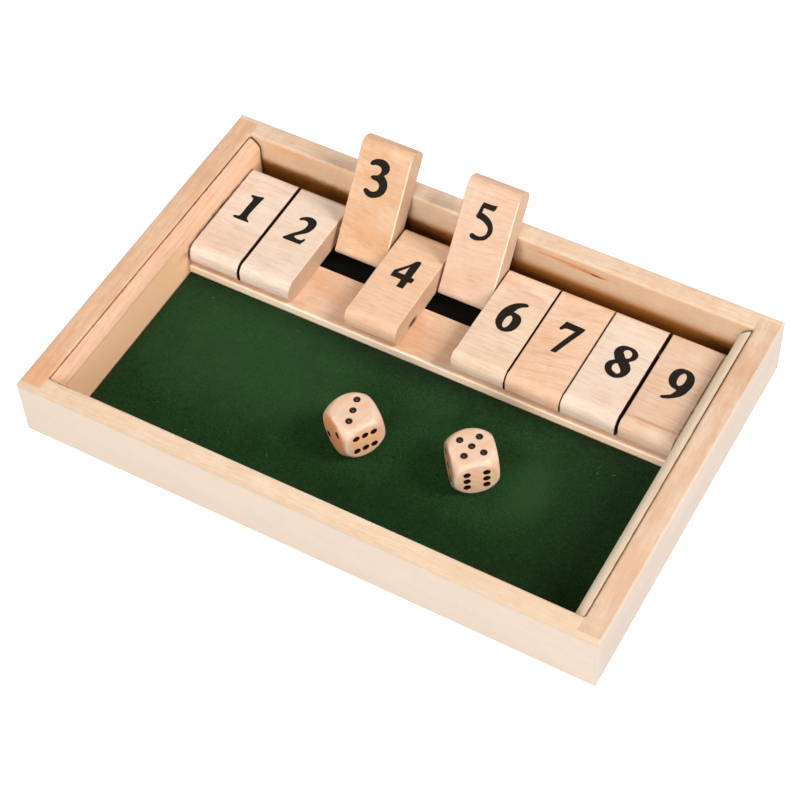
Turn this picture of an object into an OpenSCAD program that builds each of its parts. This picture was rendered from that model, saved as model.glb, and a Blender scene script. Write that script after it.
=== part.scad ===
// Shut the box: a shallow wooden tray with nine number tiles that turn on one rod,
// and two dice to throw. Lengths are in millimetres and angles in degrees.
// X runs along the row of tiles, Y to the back and Z up, from the centre of the underside.

/* [Case] */
// Height of the case
case_h = 24.5; // [23:0.5:30]
// Thickness of the front and back boards
end_t = 7.7; // [6.5:0.1:10]
// Thickness of the side boards
side_t = 8.4; // [6.5:0.1:10]
// Thickness of the lip that laps over each end of the side boards
lip_t = 2.3; // [1.5:0.1:3.5]
// Rounding of the case's edges
edge_r = 1; // [0.4:0.1:1.5]
// Depth of the throwing tray, from the front board to the ledge
play_d = 77; // [65:1:100]

/* [Base and felt] */
// Thickness of the base panel
base_t = 2; // [1.5:0.1:3]
// How far the base panel reaches under the boards
rebate_w = 4; // [2:0.5:5]
// Thickness of the felt
felt_t = 1.2; // [0.8:0.1:2]

/* [Liners] */
// Thickness of the liners
liner_t = 4.2; // [3.5:0.1:6]
// How far the liners stay below the top of the case
liner_drop = 0.6; // [0.3:0.1:1.5]
// How far the top of a liner falls to its inner edge
liner_fall = 3.8; // [2.5:0.1:5]
// Radius of the crown across the top of a liner
liner_crown = 7; // [5:0.5:20]

/* [Ledge] */
// Depth of the ledge under the tiles, from front to back
ledge_d = 21.4; // [16:0.2:24]
// How much of the ledge shows in front of the tiles
ledge_show = 0.1; // [0.1:0.1:1.5]
// Rounding of the ledge's front edge
ledge_r = 0.6; // [0.3:0.1:1]

/* [Tiles] */
// Width of a tile, along the rod
tile_w = 20.3; // [18:0.1:24]
// Length of a tile, from its free end to its tail
tile_l = 45; // [42:0.5:52]
// Thickness of a tile
tile_t = 9.4; // [8.4:0.1:10.4]
// Rounding of the free end
nose_r = 4.2; // [1:0.1:4.4]
// Rounding of the tail
tail_r = 2.5; // [1.5:0.1:4]
// Rounding of the long edges
tile_edge_r = 0.4; // [0.2:0.1:0.8]
// Distance from the rod to the end of the tail
tail_l = 8; // [7:0.1:9]
// Room between the tails and the back board
tail_room = 6.5; // [5.5:0.1:9]

/* [Rod] */
// Diameter of the rod
rod_d = 3; // [2:0.1:4]

/* [Dice] */
// Width of a die across its flats
die_w = 16; // [12:0.5:18]
// Diameter of the ball that rounds off a die's corners
die_ball_d = 21.8; // [21:0.1:23]
// Distance of the outer pips from the middle of a face
pip_off = 3.3; // [3:0.1:3.6]
// Width of a pip
pip_d = 2.4; // [1.6:0.1:2.6]
// Depth of a pip
pip_depth = 0.55; // [0.3:0.05:0.8]

/* [Fits] */
// Gap between two tiles side by side
tile_gap = 0.9; // [0.6:0.1:1.5]
// Gap between a lying tile and the ledge
seat_gap = 0.1; // [0.05:0.05:0.3]
// Gap between a raised tile and the edge of the back board
lean_gap = 0.15; // [0.1:0.05:0.4]
// Gap between the turning tails and the base panel
floor_gap = 0.4; // [0.3:0.1:1]
// Radial play of the rod in the tiles and the liners
rod_play = 0.05; // [0.03:0.01:0.1]
// Gap between each end of the rod and the side boards
rod_end_gap = 0.4; // [0.2:0.1:1]
// Gap round the base panel in its rebate
panel_gap = 0.2; // [0.1:0.1:0.5]
// Gap in front of a liner
liner_gap = 0.3; // [0.1:0.1:0.5]
// Gap behind a liner
liner_back_gap = 0.9; // [0.2:0.1:1.5]
// Gap round the felt
felt_gap = 0.3; // [0.1:0.1:0.6]
// Gap between a die and the felt
die_gap = 0.2; // [0.1:0.1:0.3]

/* [Hidden] */
$fn = 96;
tile_count = 9;
// Tiles that stand raised, as in the middle of a game
RAISED = [3, 5];
// Where each tile lies in its own play along the rod, as a share of the gap
TILE_SHIFT = [-0.15, -0.1, 0.6, 0.6, 0.45, 0.1, -0.3, -0.7, -0.5];

// Along X: the row of tiles, a liner at each end and then the side boards
tile_pitch = tile_w + tile_gap;
row_l = tile_count * tile_pitch;
inner_l = row_l + 2 * liner_t;
case_l = inner_l + 2 * side_t;
rod_l = inner_l - 2 * rod_end_gap;

// Along Y: the throwing tray, the tiles and the room behind their tails
inner_d = play_d + ledge_show + tile_l + tail_room;
case_d = inner_d + 2 * end_t;
front_y = -inner_d / 2;
back_y = inner_d / 2;
ledge_y = front_y + play_d;
pivot_y = ledge_y + ledge_show + tile_l - tail_l;

// Along Z: the ledge lifts the tiles so that their turning tails clear the base panel
felt_top = base_t + felt_t;
tail_reach = norm([tail_l - tail_r, tile_t / 2 - tail_r]) + tail_r;
pivot_z = base_t + floor_gap + tail_reach;
ledge_top = pivot_z - tile_t / 2 - seat_gap;
liner_top = case_h - liner_drop;

// A raised tile leans back until it rests on the rounded top edge of the back board
edge_away = back_y + edge_r - pivot_y;
edge_above = case_h - edge_r - pivot_z;
lean_cos = (edge_r + lean_gap + tile_t / 2) / norm([edge_away, edge_above]);
raised_a = 90 + acos(lean_cos) - atan2(edge_above, edge_away);

// The ball cutter that leaves a dimple of the pip's width and depth
pip_ball_r = (pow(pip_d / 2, 2) + pow(pip_depth, 2)) / (2 * pip_depth);

// Where the dice lie: across from the middle, back from the front board, and turned
DIE_1_SPOT = [-4.7, 38.8];
DIE_1_TURN = 58.4;
DIE_2_SPOT = [37.1, 44.1];
DIE_2_TURN = 40.3;
// Each face of a die: the turn that brings it to the top, and its number of pips
DIE_FACES = [
    [[0, 0, 0], 3], [[180, 0, 0], 4],
    [[90, 0, 0], 6], [[-90, 0, 0], 1],
    [[0, -90, 0], 2], [[0, 90, 0], 5]
];

BOARD = "#ecc9a4";
LINER = "#f0c49a";
LEDGE = "#e8b68f";
BASE = "#1c1a15";
FELT = "#27492a";
STEEL = "#b9bcc0";
DIE = "#f2c9a2";
TILE = ["#efd3b6", "#f1d8c2", "#edbf9b", "#f2c6a4", "#f0cbae", "#f3d4b8", "#f3c9a7", "#f4dbc4", "#eac3a6"];

// Rectangle about the origin with rounded corners
module rounded_rect(w, h, r) {
    square([w - 2 * r, h], center = true);
    square([w, h - 2 * r], center = true);
    for (x = [-1, 1], y = [-1, 1])
        translate([x * (w / 2 - r), y * (h / 2 - r)]) circle(r = r);
}

// What a rounding cutter takes off a corner at the origin, with the wood on the lower left
module rounding(r) {
    translate([-r, -r])
        difference() {
            square(2 * r);
            circle(r = r);
        }
}

// A profile in Y and Z drawn out along X, about the middle
module along_x(length) {
    rotate([90, 0, 90]) linear_extrude(length, center = true) children();
}

// A profile in X and Z drawn out along Y, about the middle
module along_y(length) {
    rotate([90, 0, 0]) linear_extrude(length, center = true) children();
}

// A closed block of the case's size with every outer edge rounded
module case_block() {
    intersection() {
        linear_extrude(case_h) rounded_rect(case_l, case_d, edge_r);
        translate([0, 0, case_h / 2]) along_y(case_d) rounded_rect(case_l, case_h, edge_r);
        translate([0, 0, case_h / 2]) along_x(case_l) rounded_rect(case_d, case_h, edge_r);
    }
}

// The pocket under the boards that takes a panel, open below
module panel_pocket(gap) {
    pocket = [inner_l + 2 * (rebate_w - gap), inner_d + 2 * (rebate_w - gap), 2 * base_t];
    cube(pocket, center = true);
}

// A long board: its ends are cut back to a lip that laps over the side boards
module end_board() {
    color(BOARD)
        difference() {
            intersection() {
                case_block();
                translate([-case_l / 2, -case_d / 2, 0]) cube([case_l, end_t, case_h]);
            }
            for (side = [-1, 1])
                translate([side * (inner_l / 2 + side_t), lip_t - case_d / 2 + end_t, case_h / 2])
                    cube([2 * side_t, 2 * end_t, 2 * case_h], center = true);
            panel_pocket(0);
            translate([0, front_y, case_h]) along_x(inner_l) rounding(edge_r);
        }
}

module front_board() {
    end_board();
}

module back_board() {
    rotate([0, 0, 180]) end_board();
}

// A short board, butted between the lips of the long ones
module left_board() {
    color(BOARD)
        difference() {
            intersection() {
                case_block();
                translate([-case_l / 2, lip_t - case_d / 2, 0]) cube([side_t, case_d - 2 * lip_t, case_h]);
            }
            panel_pocket(0);
            translate([-inner_l / 2, 0, case_h]) along_y(inner_d) rounding(edge_r);
        }
}

module right_board() {
    rotate([0, 0, 180]) left_board();
}

module base_panel() {
    color(BASE)
        intersection() {
            panel_pocket(panel_gap);
            linear_extrude(base_t) square([case_l, case_d], center = true);
        }
}

module felt_mat() {
    color(FELT)
        translate([felt_gap - row_l / 2, front_y + felt_gap, base_t])
            cube([row_l - 2 * felt_gap, play_d - 2 * felt_gap, felt_t]);
}

// Upright strip in X and Z against the left board. Its top is a shallow arc that falls from the
// board to the inner edge: the arc's centre lies square to the middle of its chord.
module liner_profile() {
    chord = norm([liner_t, liner_fall]);
    below = sqrt(pow(liner_crown, 2) - pow(chord / 2, 2)) / chord;
    translate([-inner_l / 2, base_t]) square([liner_t, liner_top - liner_fall - base_t]);
    translate([-inner_l / 2, liner_top - liner_fall])
        intersection() {
            translate([liner_t / 2 - below * liner_fall, liner_fall / 2 - below * liner_t])
                circle(r = liner_crown);
            square([liner_t, liner_fall]);
        }
}

module left_liner() {
    color(LINER)
        difference() {
            translate([0, (liner_gap - liner_back_gap) / 2, 0])
                along_y(inner_d - liner_gap - liner_back_gap) liner_profile();
            rod_hole(case_l);
        }
}

module right_liner() {
    mirror([1, 0, 0]) left_liner();
}

// Strip with its front top edge eased, in Y and Z
module ledge_profile() {
    difference() {
        translate([ledge_y, base_t]) square([ledge_d, ledge_top - base_t]);
        translate([ledge_y, ledge_top]) mirror([1, 0]) rounding(ledge_r);
    }
}

module tile_ledge() {
    color(LEDGE) along_x(row_l) ledge_profile();
}

// The line of the rod, as a bore of running fit
module rod_hole(length) {
    translate([0, pivot_y, pivot_z])
        rotate([0, 90, 0]) cylinder(d = rod_d + 2 * rod_play, h = length, center = true);
}

module pivot_rod() {
    color(STEEL)
        translate([0, pivot_y, pivot_z])
            rotate([0, 90, 0]) cylinder(d = rod_d, h = rod_l, center = true);
}

// Side view of a lying tile in Y and Z, from the rod: the free end to the front
module tile_profile() {
    free_l = tile_l - tail_l;
    // A flat is left between the two roundings of the free end
    nose = min(nose_r, 0.45 * tile_t);
    translate([nose - free_l, -tile_t / 2]) square([tile_l - nose - tail_r, tile_t]);
    for (up = [-1, 1]) {
        translate([nose - free_l, up * (tile_t / 2 - nose)]) circle(r = nose);
        translate([tail_l - tail_r, up * (tile_t / 2 - tail_r)]) circle(r = tail_r);
    }
    translate([-free_l, nose - tile_t / 2]) square([tile_l / 2, tile_t - 2 * nose]);
    translate([tail_l - tile_l / 2, tail_r - tile_t / 2]) square([tile_l / 2, tile_t - 2 * tail_r]);
}

// A tile that lies flat, with the line of the rod through the origin
module tile_body() {
    difference() {
        intersection() {
            along_x(tile_w) tile_profile();
            along_y(2 * tile_l) rounded_rect(tile_w, tile_t, tile_edge_r);
            linear_extrude(2 * tile_t, center = true)
                translate([0, tail_l - tile_l / 2]) rounded_rect(tile_w, tile_l, tile_edge_r);
        }
        rotate([0, 90, 0]) cylinder(d = rod_d + 2 * rod_play, h = 2 * tile_w, center = true);
    }
}

// One tile at its place on the rod, lying on the ledge or raised
module tile(n) {
    place = (n - (tile_count + 1) / 2) * tile_pitch + TILE_SHIFT[n - 1] * tile_gap;
    raised = len(search(n, RAISED)) > 0;
    color(TILE[n - 1])
        translate([place, pivot_y, pivot_z])
            rotate([raised ? -raised_a : 0, 0, 0])
                tile_body();
}

// Places of the pips on a face, in steps of pip_off
function pips(n) = concat(
    n % 2 == 1 ? [[0, 0]] : [],
    n == 2 ? [[-1, 1], [1, -1]] : [],
    n > 2 ? [[-1, -1], [1, 1]] : [],
    n > 3 ? [[-1, 1], [1, -1]] : [],
    n == 6 ? [[0, -1], [0, 1]] : []
);

// A die about its own centre, three up
module die() {
    color(DIE)
        difference() {
            intersection() {
                cube(die_w, center = true);
                sphere(d = die_ball_d);
            }
            for (face = DIE_FACES)
                rotate(face[0])
                    for (spot = pips(face[1]))
                        translate([spot[0] * pip_off, spot[1] * pip_off, die_w / 2 - pip_depth + pip_ball_r])
                            sphere(r = pip_ball_r);
        }
}

module on_felt(spot, turn) {
    translate([spot[0], front_y + spot[1], felt_top + die_gap + die_w / 2])
        rotate([0, 0, turn]) children();
}

module die_1() {
    on_felt(DIE_1_SPOT, DIE_1_TURN) die();
}

// The same die, rolled over so that its five is up
module die_2() {
    on_felt(DIE_2_SPOT, DIE_2_TURN) rotate([0, -90, 0]) die();
}

front_board();
back_board();
left_board();
right_board();
base_panel();
felt_mat();
left_liner();
right_liner();
tile_ledge();
pivot_rod();
for (n = [1:tile_count])
    tile(n);
die_1();
die_2();
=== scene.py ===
# %% [markdown]
# # Dressing a shut the box game
#
# The game is a shallow wooden tray. Four boards make its case, a liner with a crowned top runs
# along each short side, and a felt mat covers the front half for the dice. Nine number tiles turn
# on one steel rod at the back, and lie on a ledge until they are flipped up.
#
# The packed model already has every rigid piece at its real size, so this lesson gives those
# pieces their finish, and adds what belongs to the surface: the printed numerals, the cloth and
# its nap, and two turned and painted dice. We start by loading the frame, because every place
# below is measured from it.

import math

import bmesh
import bpy
import numpy as np
from mathutils import Matrix, Vector
from mathutils.geometry import tessellate_polygon


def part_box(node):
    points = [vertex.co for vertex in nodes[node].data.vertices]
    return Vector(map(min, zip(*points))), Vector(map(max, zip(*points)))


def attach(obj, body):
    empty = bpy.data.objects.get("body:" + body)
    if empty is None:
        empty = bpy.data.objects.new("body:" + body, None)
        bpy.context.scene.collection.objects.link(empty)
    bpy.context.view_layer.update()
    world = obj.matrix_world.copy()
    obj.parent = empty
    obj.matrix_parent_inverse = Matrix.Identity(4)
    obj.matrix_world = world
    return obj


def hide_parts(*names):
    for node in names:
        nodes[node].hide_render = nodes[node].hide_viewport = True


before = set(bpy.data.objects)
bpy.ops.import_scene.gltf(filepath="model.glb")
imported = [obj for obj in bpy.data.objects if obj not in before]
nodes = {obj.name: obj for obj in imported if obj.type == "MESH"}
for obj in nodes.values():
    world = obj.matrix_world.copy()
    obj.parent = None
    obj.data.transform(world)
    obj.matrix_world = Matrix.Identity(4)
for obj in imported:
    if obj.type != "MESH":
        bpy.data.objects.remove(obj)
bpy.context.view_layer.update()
MM = 0.001


def box_mm(node):
    """The lowest and highest corner of a CAD node, in millimetres."""
    low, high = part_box(node)
    return np.array(low) / MM, np.array(high) / MM


print(len(nodes), "nodes; the front board lies between", *box_mm("front_board"))

# %% [markdown]
# ## The camera
#
# The game is seen from in front, from the right and well above, as a player standing at a table
# sees it. A long lens keeps the case's edges nearly parallel. A camera can be given as a matrix,
# but a point to look at, an azimuth, an elevation and a distance can be read and changed. The
# small roll tips the picture the way a hand-held camera does.

# %% Camera
LENS_MM = 95.09
CAMERA_AZIMUTH = 31.498
CAMERA_ELEVATION = 52.132
CAMERA_ROLL = -2.911
CAMERA_DISTANCE = 0.72765
LOOK_AT = Vector((-0.857, -1.594, 0.0)) * MM


def add_object(name, data):
    """Makes an object of a camera, a lamp or a mesh, and puts it into the scene."""
    obj = bpy.data.objects.new(name, data)
    bpy.context.scene.collection.objects.link(obj)
    return obj


def direction(azimuth, elevation):
    """The unit vector from the game to a lamp or camera: azimuth 0 is the front, 90 the right."""
    a, e = math.radians(azimuth), math.radians(elevation)
    return Vector((math.sin(a) * math.cos(e), -math.cos(a) * math.cos(e), math.sin(e)))


def aim(obj, azimuth, elevation, distance, roll=0.0):
    """Puts a camera or lamp at that distance from LOOK_AT, facing it, and rolls it."""
    toward = direction(azimuth, elevation)
    facing = (-toward).to_track_quat("-Z", "Y").to_matrix().to_4x4()
    rolled = Matrix.Rotation(math.radians(roll), 4, "Z")
    obj.matrix_world = Matrix.Translation(LOOK_AT + toward * distance) @ facing @ rolled


camera = add_object("camera", bpy.data.cameras.new("camera"))
camera.data.lens = LENS_MM
camera.data.sensor_width = 36
aim(camera, CAMERA_AZIMUTH, CAMERA_ELEVATION, CAMERA_DISTANCE, CAMERA_ROLL)
bpy.context.scene.camera = camera
print("camera at", camera.matrix_world.translation)

# %% [markdown]
# ## Shader maths
#
# A procedural finish is arithmetic on numbers that change over a surface. In Blender each step is
# a node, and long chains of nodes are hard to read in Python. So one small class wraps a socket
# that carries a number and gives it Python's operators: `1 - mask * 0.5` then adds its two Math
# nodes by itself. Colours and vectors stay plain sockets, and go through Mix and Vector Math.

# %% A number over a surface
class Value:
    """A number that changes over a surface, with the operators of arithmetic."""

    def __init__(self, graph, socket):
        self.graph, self.socket = graph, socket

    def math(self, operation, *others):
        """One Math node, with this value in its first socket."""
        terms = dict(enumerate((self, *others)))
        return self.graph.node("ShaderNodeMath", {"operation": operation}, terms)

    def __add__(self, other):
        return self.math("ADD", other)

    def __mul__(self, other):
        return self.math("MULTIPLY", other)

    def __sub__(self, other):
        return self.math("SUBTRACT", other)

    def __rsub__(self, other):
        return self.math("MULTIPLY_ADD", -1, other)

    def __truediv__(self, other):
        return self.math("DIVIDE", other)

    def __pow__(self, other):
        return self.math("POWER", other)

    __radd__ = __add__
    __rmul__ = __mul__


print(Value.__doc__)

# %% Colours
def paint(code):
    """The linear red, green, blue and alpha of a colour that is written as #rrggbb."""
    share = np.array([int(code[k : k + 2], 16) for k in (1, 3, 5)]) / 255
    linear = np.where(share <= 0.04045, share / 12.92, ((share + 0.055) / 1.055) ** 2.4)
    return (*linear.tolist(), 1.0)


print("white is", paint("#ffffff"), "and mid grey", paint("#808080"))

# %% [markdown]
# A `Graph` is the nodes of one material. Its `node` method makes any node: it takes the node's
# type, its settings, which are set first because they can change its sockets, and what goes into
# the sockets. A `Finish` is a graph with short names for what every finish needs.

# %% A graph of nodes
class Graph:
    """A material or world being built: its shader, and the nodes that feed it."""

    def __init__(self, data, shader="Principled BSDF"):
        data.use_nodes = True
        self.data, self.tree = data, data.node_tree
        self.shader = self.tree.nodes[shader]

    def node(self, kind, settings=None, sockets=None, out=0):
        """Adds a node and returns one of its outputs, as a Value if it carries a number."""
        node = self.tree.nodes.new(kind)
        for name, setting in (settings or {}).items():
            setattr(node, name, setting)
        self.feed(node, sockets or {})
        output = node.outputs[out]
        return Value(self, output) if output.type == "VALUE" else output

    def feed(self, node, sockets):
        """Gives each of a node's sockets its value or link."""
        for name, given in sockets.items():
            given = given.socket if isinstance(given, Value) else given
            if isinstance(given, bpy.types.NodeSocket):
                self.tree.links.new(given, node.inputs[name])
            else:
                node.inputs[name].default_value = given

    def surface(self, **sockets):
        """Feeds the shader and returns the material; a socket's spaces are written as _."""
        self.feed(self.shader, {name.replace("_", " "): given for name, given in sockets.items()})
        print(self.data.name, "is built from", len(self.tree.nodes), "nodes")
        return self.data


print(Graph.__doc__)

# %% A finish
class Finish(Graph):
    """A graph that also measures places, makes noise and mixes colours."""

    def place(self, origin=(0, 0, 0), turn=(0, 0, 0)):
        """Object coordinates in mm on axes that lie at origin and are turned by degrees."""
        sockets = {
            "Vector": self.node("ShaderNodeTexCoord", out="Object"),
            "Location": [x * MM for x in origin],
            "Rotation": [math.radians(x) for x in turn],
            "Scale": [MM] * 3,
        }
        return self.node("ShaderNodeMapping", {"vector_type": "TEXTURE"}, sockets)

    def vector(self, operation, a, b=(0, 0, 0), out=0):
        """One Vector Math node."""
        return self.node("ShaderNodeVectorMath", {"operation": operation}, {0: a, 1: b}, out)

    def noise(self, place, scale, detail=2.0, roughness=0.5):
        """Fractal noise about 0.5, with scale features in a mm, or a scale for each axis."""
        if not isinstance(scale, float):
            place, scale = self.vector("MULTIPLY", place, scale), 1.0
        sockets = {"Vector": place, "Scale": scale, "Detail": detail, "Roughness": roughness}
        return self.node("ShaderNodeTexNoise", None, sockets)

    def parts(self, vector):
        """The three parts of a vector, as values."""
        split = self.node("ShaderNodeSeparateXYZ", None, {0: vector}).socket.node
        return [Value(self, output) for output in split.outputs]

    def step(self, value, low, high):
        """A smooth step that rises from 0 at low to 1 at high."""
        sockets = {"Value": value, "From Min": low, "From Max": high}
        return self.node("ShaderNodeMapRange", {"interpolation_type": "SMOOTHSTEP"}, sockets)

    def patches(self, place, scale, low, high, detail=2.0, roughness=0.5):
        """Noise pushed apart: 0 where it is below low, 1 where it is above high."""
        return self.step(self.noise(place, scale, detail, roughness), low, high)

    def mix(self, a, b, share):
        """Colour a where share is 0 and colour b where it is 1; a colour may be #rrggbb."""
        a, b = (paint(c) if isinstance(c, str) else c for c in (a, b))
        return self.node("ShaderNodeMix", {"data_type": "RGBA"}, {0: share, 6: a, 7: b}, 2)

    def layers(self, colour, *layers):
        """A colour with others laid over it in turn, each a colour and its share."""
        for over, share in layers:
            colour = self.mix(colour, over, share)
        return colour

    def facing(self, way):
        """The cosine between the surface's own normal and a fixed way."""
        normal = self.node("ShaderNodeTexCoord", out="Normal")
        return self.vector("DOT_PRODUCT", normal, way, "Value")

    def bump(self, height, depth):
        """A normal from a height of 0 to 1 that stands for a depth in mm."""
        return self.node("ShaderNodeBump", None, {"Height": height, "Distance": depth * MM})


def finish(name):
    """A new material, ready to be built."""
    return Finish(bpy.data.materials.new(name))


print(Finish.__doc__)

# %% [markdown]
# ## Floor, backdrop and light
#
# A light wooden thing looks right on a white sweep with large soft lamps: hard lamps would burn
# the pale tops out. The strongest lamp stands to the game's right, so the dice and the boards
# throw their soft shadows to the left. A second, broad lamp in front lights the ends of the tiles
# and the back wall, and a weak third one on the left opens the shadows. The floor is a white that
# takes shadows. It glows a little for the camera only, so that it ends in plain white without
# more light on the game.

# %% Floor
FLOOR_RADIUS = 6000
FLOOR_GLOW = 0.8


def seen_directly(built):
    """1 for a ray from the camera, in a mirror or through glass, and 0 for light on its way."""
    rays = built.node("ShaderNodeLightPath").socket.node
    names = ("Is Camera Ray", "Is Glossy Ray", "Is Transmission Ray")
    camera_ray, glossy_ray, glass_ray = (Value(built, rays.outputs[name]) for name in names)
    return camera_ray.math("MAXIMUM", glossy_ray).math("MAXIMUM", glass_ray)


white_sweep = finish("white_sweep")
white_sweep.surface(
    Base_Color=paint("#c8c8c8"),
    Roughness=0.9,
    Specular_IOR_Level=0.2,
    Emission_Color=white_sweep.mix("#000000", "#ffffff", seen_directly(white_sweep) * FLOOR_GLOW),
    Emission_Strength=1.0,
)
ring = np.linspace(0, 2 * math.pi, 64, endpoint=False)
rim = np.stack([np.cos(ring), np.sin(ring), 0 * ring], axis=-1) * FLOOR_RADIUS * MM
floor_mesh = bpy.data.meshes.new("floor")
floor_mesh.from_pydata(rim.tolist(), [], [list(range(len(rim)))])
floor_mesh.materials.append(white_sweep.data)
floor = add_object("floor", floor_mesh)
print("floor radius", FLOOR_RADIUS, "mm")

# %% Room
ROOM_LIGHT = 0.15
bpy.context.scene.world = bpy.data.worlds.new("room")
room = Finish(bpy.context.scene.world, "Background")
room_strength = seen_directly(room) * (1 - ROOM_LIGHT) + ROOM_LIGHT
room.surface(Color=paint("#ffffff"), Strength=room_strength)
print("room light", ROOM_LIGHT, "and plain white where it is seen")

# %% [markdown]
# A square lamp of power P at distance d lights a surface that faces it with P / (pi d d), and a
# white surface then looks as bright as P / (pi pi d d). So each lamp below is given by the share
# of full white that it adds, and its power is worked out from that.

# %% Lamps
LAMPS = [
    # name, azimuth, elevation, distance and size in m, share of white, colour
    ("key_lamp", 104, 42, 1.3, 0.5, 0.78, "#fffaf4"),
    ("front_lamp", 8, 29, 2.0, 1.1, 0.74, "#ffffff"),
    ("fill_lamp", -62, 42, 1.8, 0.8, 0.24, "#fff6ea"),
]


def softbox(name, azimuth, elevation, distance, size, share, colour):
    """A square lamp that adds that share of full white where a surface faces it."""
    data = bpy.data.lights.new(name, "AREA")
    data.shape, data.size = "SQUARE", size
    data.energy = share * (math.pi * distance) ** 2
    data.color = paint(colour)[:3]
    lamp = add_object(name, data)
    aim(lamp, azimuth, elevation, distance)
    return lamp


for row in LAMPS:
    print(softbox(*row).name, "adds", row[5], "of white")
bpy.context.scene.view_settings.view_transform = "Standard"

# %% [markdown]
# ## Wood in the solid
#
# The case and the tiles are pale maple with a thin satin varnish. A picture of grain laid over a
# board shows its lie at every edge, because on real wood the same rings run on round the corner
# and turn into arcs on the end. So this wood is a solid texture. Growth rings are distances from
# a pith line that lies outside the board, along the grain. Slow noise makes the rings wander, a
# second noise drawn out along the grain gives the fibres, and a third, cut off high, gives short
# dark flecks. End grain drinks more varnish, so it is darker and warmer.

# %% Marks in the wood
MARK_FADE = (0.7, 1.7)
MARK_RIPPLE = 0.8


def with_marks(built, place, colour, marks):
    """The colour with soft-edged spots, each a centre and radii in mm, a colour and a share.

    A spot fades with the length of the vector from its centre, counted in its own radii and
    rippled by noise."""
    for centre, radii, spot, share in marks:
        away = built.vector("DIVIDE", built.vector("SUBTRACT", place, centre), radii)
        distance = built.vector("LENGTH", away, out="Value")
        distance = distance + built.noise(place, 0.4) * MARK_RIPPLE
        colour = built.mix(colour, spot, (1 - built.step(distance, *MARK_FADE)) * share)
    return colour


print("with its ripple, a mark fades between", MARK_FADE, "radii")

# %% Maple
LATE_WOOD = "#c08a60"
END_WOOD = "#b48f6e"
FLECK = "#8a5a38"
SHIVER = 1.6


def maple(
    name, pale, warm, origin, turn=(0, 0, 0), lie=(0, 0), pith=(14, -22), ring=2.6, wander=8.0,
    lines=0.3, blotch=0.6, figure=0.3, end=0.3, end_wood=END_WOOD, sides=(), marks=(), seed=0,
):
    """Solid maple on the piece's own axes, which lie at origin and are turned. The marks keep to
    these axes, and the grain runs along their X, askew by the two angles of lie about Y and Z.

    Rings: the distance from the pith line, plus a slow wander and a quick shiver, is divided by
    the ring width; what is left after the whole rings rises to the late wood and drops at once.
    Figure is the clouding that crosses the grain where the fibres wave.
    sides are the sides that look otherwise, each the way it faces, a colour and a share, and
    sometimes the two heights between which that colour fades out."""
    built = finish(name)
    grain_turn = np.add(turn, (0, *lie))
    place = built.place(origin, grain_turn)
    plank = built.vector("ADD", place, (seed * 37.1, seed * 5.3, 0))
    _, across, through = built.parts(place)

    radius = ((across - pith[0]) ** 2 + (through - pith[1]) ** 2) ** 0.5
    radius = radius + built.noise(plank, (0.018, 0.06, 0.06)) * wander
    radius = radius + built.noise(plank, (0.15, 0.7, 0.7)) * SHIVER
    phase = (radius / ring).math("FRACT")
    late = built.step(phase, 0.2, 0.85) * (1 - built.step(phase, 0.85, 1.0))

    cloud = built.patches(plank, (0.035, 0.1, 0.1), 0.34, 0.68, 4.0, 0.65)
    waves = built.patches(plank, (0.28, 0.1, 0.1), 0.42, 0.62, 3.0, 0.55)
    patchy = built.patches(plank, (0.06, 0.2, 0.2), 0.35, 0.65)
    fibre = built.noise(plank, (0.11, 1.5, 1.5), 3.0, 0.65)
    dash = built.patches(plank, (0.12, 1.2, 1.2), 0.52, 0.68, 2.0, 0.7)
    pore = built.patches(plank, (0.22, 2.4, 2.4), 0.58, 0.72, 1.0)

    way = Vector((1, 0, 0))
    for axis, degrees in zip("XYZ", grain_turn):
        way.rotate(Matrix.Rotation(math.radians(degrees), 3, axis))
    end_grain = built.step(built.facing(way).math("ABSOLUTE"), 0.5, 0.95)

    colour = built.layers(
        pale,
        (warm, cloud * blotch),
        (warm, waves * figure),
        (LATE_WOOD, late * (0.25 + patchy * 0.75) * lines),
        (LATE_WOOD, built.step(fibre, 0.4, 0.7) * 0.2 + dash * 0.1),
        (FLECK, pore * (0.05 + patchy * 0.1 + end_grain * 0.25)),
        (end_wood, end_grain * end),
    )
    height = built.parts(built.place())[2]
    for side_way, tint, share, *fade in sides:
        side = built.step(built.facing(side_way), 0.3, 0.75) * share
        colour = built.mix(colour, tint, side * (1 - built.step(height, *fade)) if fade else side)
    colour = with_marks(built, built.place(origin, turn), colour, marks)
    return built.surface(
        Base_Color=colour,
        Roughness=0.42 + 0.16 * fibre,
        Specular_IOR_Level=0.2,
        Normal=built.bump(fibre * 0.6 - pore * 0.4, 0.03),
    )


print("late wood is", LATE_WOOD, "and end grain", END_WOOD)

# %% Dressing a node
def dress(node, material):
    """Gives a CAD node its material, and leaves its mesh and place alone."""
    for slot in nodes[node].material_slots:
        slot.material = material


def in_maple(node, pale, warm, origin, turn=(0, 0, 0), **look):
    """Dresses a CAD node in a maple of its own."""
    dress(node, maple(f"{node}_maple", pale, warm, origin, turn, **look))


print("a tile has", len(nodes["tile_1"].material_slots), "slot for a material")

# %% [markdown]
# ## Boards, liners and ledge
#
# Grain always runs along the length of a board. The outer faces and the ends get a paler tint,
# which is painted light, and the inner faces a deeper one, which is painted shade. Each board is
# cut from another plank, so each has its own tint, its own pith and its own seed. A few carry
# marks: some are the wood's own, and some are painted shade and painted light, as the comments
# beside them say. A mark's place is counted along, across and through the board from its origin.

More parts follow.
